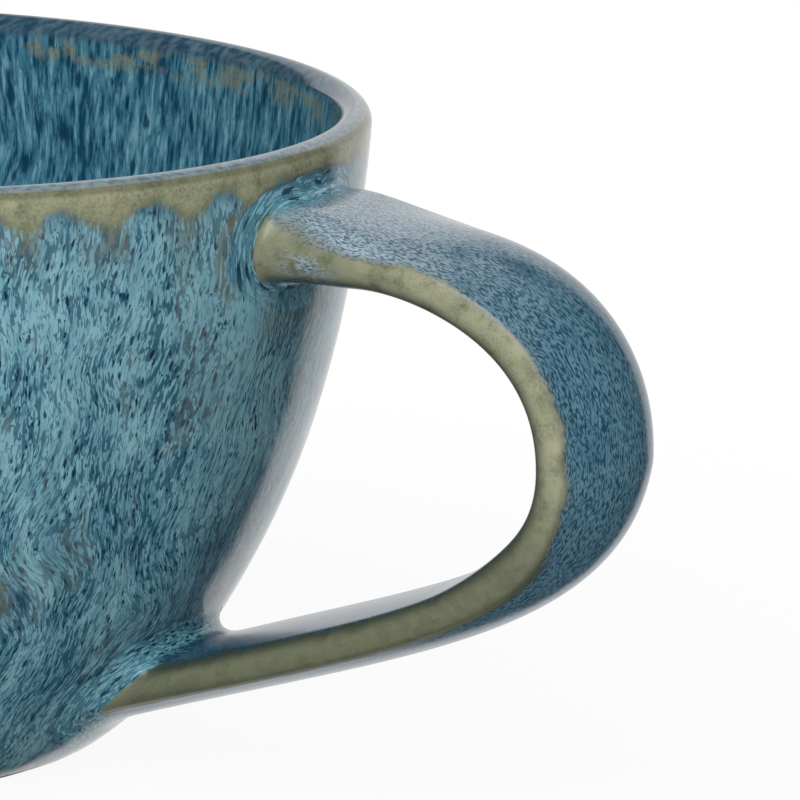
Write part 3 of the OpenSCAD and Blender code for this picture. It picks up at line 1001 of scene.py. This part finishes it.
class MUG_OT_handle(bpy.types.Operator):
    """Add the glazed strap handle with its two filleted roots"""
    bl_idname = "mug.handle"
    bl_label = "Handle"

    def execute(self, context):
        strap = forms()[1]
        rows, size = strap.rings.shape[:2]
        bm = bmesh.new()
        bmesh.ops.create_grid(bm, x_segments=size, y_segments=rows - 1, size=1)
        along = [round((v.co.y + 1) / 2 * (rows - 1)) for v in bm.verts]
        across = [round((v.co.x + 1) / 2 * size) % size for v in bm.verts]
        place = strap.rings[along, across]
        turns = [ring_turn(corner) for corner in strap.corners]
        flow, near = [], []
        for i, k in zip(along, across):
            turn, ring_r = turns[0 if i < strap.turning_point else 1]
            near.append((ring_r * math.cos(turn[k]), ring_r * math.sin(turn[k]), strap.depths[i, k]))
            flow.append((strap.across[i, k], strap.heights[i, k], strap.ring_runs[i]))
        for v, p in zip(bm.verts, place):
            v.co = Vector(p) * MM
        set_layer(bm, "root_flow", np.array(near))
        set_layer(bm, "strap_flow", np.array(flow))
        set_layer(bm, "strip_depth", strap.strip_depth[along, across])
        bmesh.ops.remove_doubles(bm, verts=bm.verts[:], dist=MERGE_GAP)
        ends = [e for e in bm.edges if e.is_boundary]
        bmesh.ops.holes_fill(bm, edges=ends, sides=0)
        bmesh.ops.recalc_face_normals(bm, faces=bm.faces[:])
        material = handle_glaze_material(context.scene.glaze_colours)
        finished(
            bm, "handle_coat", material, "handle_glaze",
            "handle_glaze", "handle", "upper_slip_joint", "lower_slip_joint",
        )
        return {"FINISHED"}


class MUG_OT_clay(bpy.types.Operator):
    """Give the bare clay and the base their finishes"""
    bl_idname = "mug.clay"
    bl_label = "Clay and base"

    def execute(self, context):
        c = context.scene.glaze_colours
        for node, material in (("cup_body", clay_material(c)), ("base_glaze", base_glaze_material(c))):
            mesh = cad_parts[node].data
            mesh.materials.clear()
            mesh.materials.append(material)
        return {"FINISHED"}


class MUG_OT_studio(bpy.types.Operator):
    """Add the camera, the floor, the white surroundings and the key light"""
    bl_idname = "mug.studio"
    bl_label = "Studio"

    def execute(self, context):
        scene = context.scene
        studio = scene.mug_studio
        a, e = studio.azimuth, studio.elevation
        right = Vector((math.cos(a), math.sin(a), 0))
        front = Vector((math.sin(a), -math.cos(a), 0))
        target = right * studio.target_side + Vector((0, 0, studio.target_z))
        back = front * math.cos(e) + Vector((0, 0, math.sin(e)))
        self.camera(scene, studio, target, back)
        self.floor()
        self.world(scene, studio, front)
        side, ahead, up = KEY_PLACE
        self.key_light(scene, right * side + front * ahead + Vector((0, 0, up)), studio.key_power)
        scene.view_settings.view_transform = "Standard"
        return {"FINISHED"}

    def camera(self, scene, studio, target, back):
        data = bpy.data.cameras.new("photo_camera")
        data.sensor_width = SENSOR_W
        data.lens = studio.lens
        camera = bpy.data.objects.new("photo_camera", data)
        turn = (-back).to_track_quat("-Z", "Y").to_matrix().to_4x4()
        roll = Matrix.Rotation(studio.roll, 4, "Z")
        camera.matrix_world = Matrix.Translation(target + back * studio.distance) @ turn @ roll
        scene.collection.objects.link(camera)
        scene.camera = camera

    def floor(self):
        """Paper that the camera sees as white, a shade greyer at the foot; reflections pass it by."""
        bm = bmesh.new()
        bmesh.ops.create_grid(bm, x_segments=1, y_segments=1, size=FLOOR_HALF)
        bmesh.ops.translate(bm, verts=bm.verts[:], vec=(0, 0, -FLOOR_DROP))
        material, g = new_material("white_floor")
        seen = g.node("LightPath", out="Is Camera Ray")
        away = g.of_vectors("LENGTH", g.object_place())
        paper = g.node("BsdfDiffuse", None, {"Color": (FLOOR_GREY, FLOOR_GREY, FLOOR_GREY, 1)})
        white = g.node("Emission")
        share = seen * (FOOT_WHITE + away.step(*FLOOR_FADE) * (1 - FOOT_WHITE))
        shader = g.node("MixShader", None, {0: share, 1: paper, 2: white})
        g.node_out("OutputMaterial", shader)
        floor = added(bm, "floor", material)
        floor.visible_glossy = False

    def world(self, scene, studio, front):
        """White for the camera, an even fill, and a white wall behind the mug for reflections."""
        world = bpy.data.worlds.new("white_studio")
        world.use_nodes = True
        scene.world = world
        g = Shade(world.node_tree)
        seen = g.node("LightPath", out="Is Camera Ray")
        glossy = g.node("LightPath", out="Is Glossy Ray")
        way = g.node("TexCoord", out="Generated")
        shown = g.of_vectors("DOT_PRODUCT", way, front).step(*BACK_EDGE) * BACK_LEVEL + DIM_LEVEL
        level = glossy * shown + (1 - glossy) * studio.fill
        level = level.at_least(seen)
        sky = g.node("Background", None, {"Color": (1, 1, 1, 1), "Strength": level})
        g.node_out("OutputWorld", sky)

    def key_light(self, scene, offset, power):
        data = bpy.data.lights.new("key_light", "AREA")
        data.shape = "DISK"
        data.size = KEY_SIZE
        data.energy = power
        lamp = bpy.data.objects.new("key_light", data)
        lamp.location = offset + Vector(KEY_AIM)
        lamp.rotation_euler = (-offset).to_track_quat("-Z", "Y").to_euler()
        scene.collection.objects.link(lamp)


class MUG_PT_panel(bpy.types.Panel):
    """The studio and the mug's pieces, in the order in which they are added"""
    bl_idname = "MUG_PT_panel"
    bl_label = "Soup Mug"
    bl_space_type = "VIEW_3D"
    bl_region_type = "UI"
    bl_category = "Soup Mug"

    def draw(self, context):
        for step in STEPS:
            self.layout.operator(step.bl_idname)
        for group in (context.scene.mug_sizes, context.scene.glaze_colours, context.scene.mug_studio):
            box = self.layout.box()
            for name in group.__annotations__:
                box.prop(group, name)


STEPS = (MUG_OT_studio, MUG_OT_outer_glaze, MUG_OT_liner_glaze, MUG_OT_handle, MUG_OT_clay)
CLASSES = (MugSizes, GlazeColours, StudioSettings, *STEPS, MUG_PT_panel)


def register():
    for cls in CLASSES:
        bpy.utils.register_class(cls)
    bpy.types.Scene.mug_sizes = PointerProperty(type=MugSizes)
    bpy.types.Scene.glaze_colours = PointerProperty(type=GlazeColours)
    bpy.types.Scene.mug_studio = PointerProperty(type=StudioSettings)


def unregister():
    del bpy.types.Scene.mug_studio
    del bpy.types.Scene.glaze_colours
    del bpy.types.Scene.mug_sizes
    for cls in reversed(CLASSES):
        bpy.utils.unregister_class(cls)


def main():
    register()
    bpy.ops.mug.studio()
    bpy.ops.mug.outer_glaze()
    bpy.ops.mug.liner_glaze()
    bpy.ops.mug.handle()
    bpy.ops.mug.clay()
    bpy.context.view_layer.update()


if __name__ == "__main__":
    main()
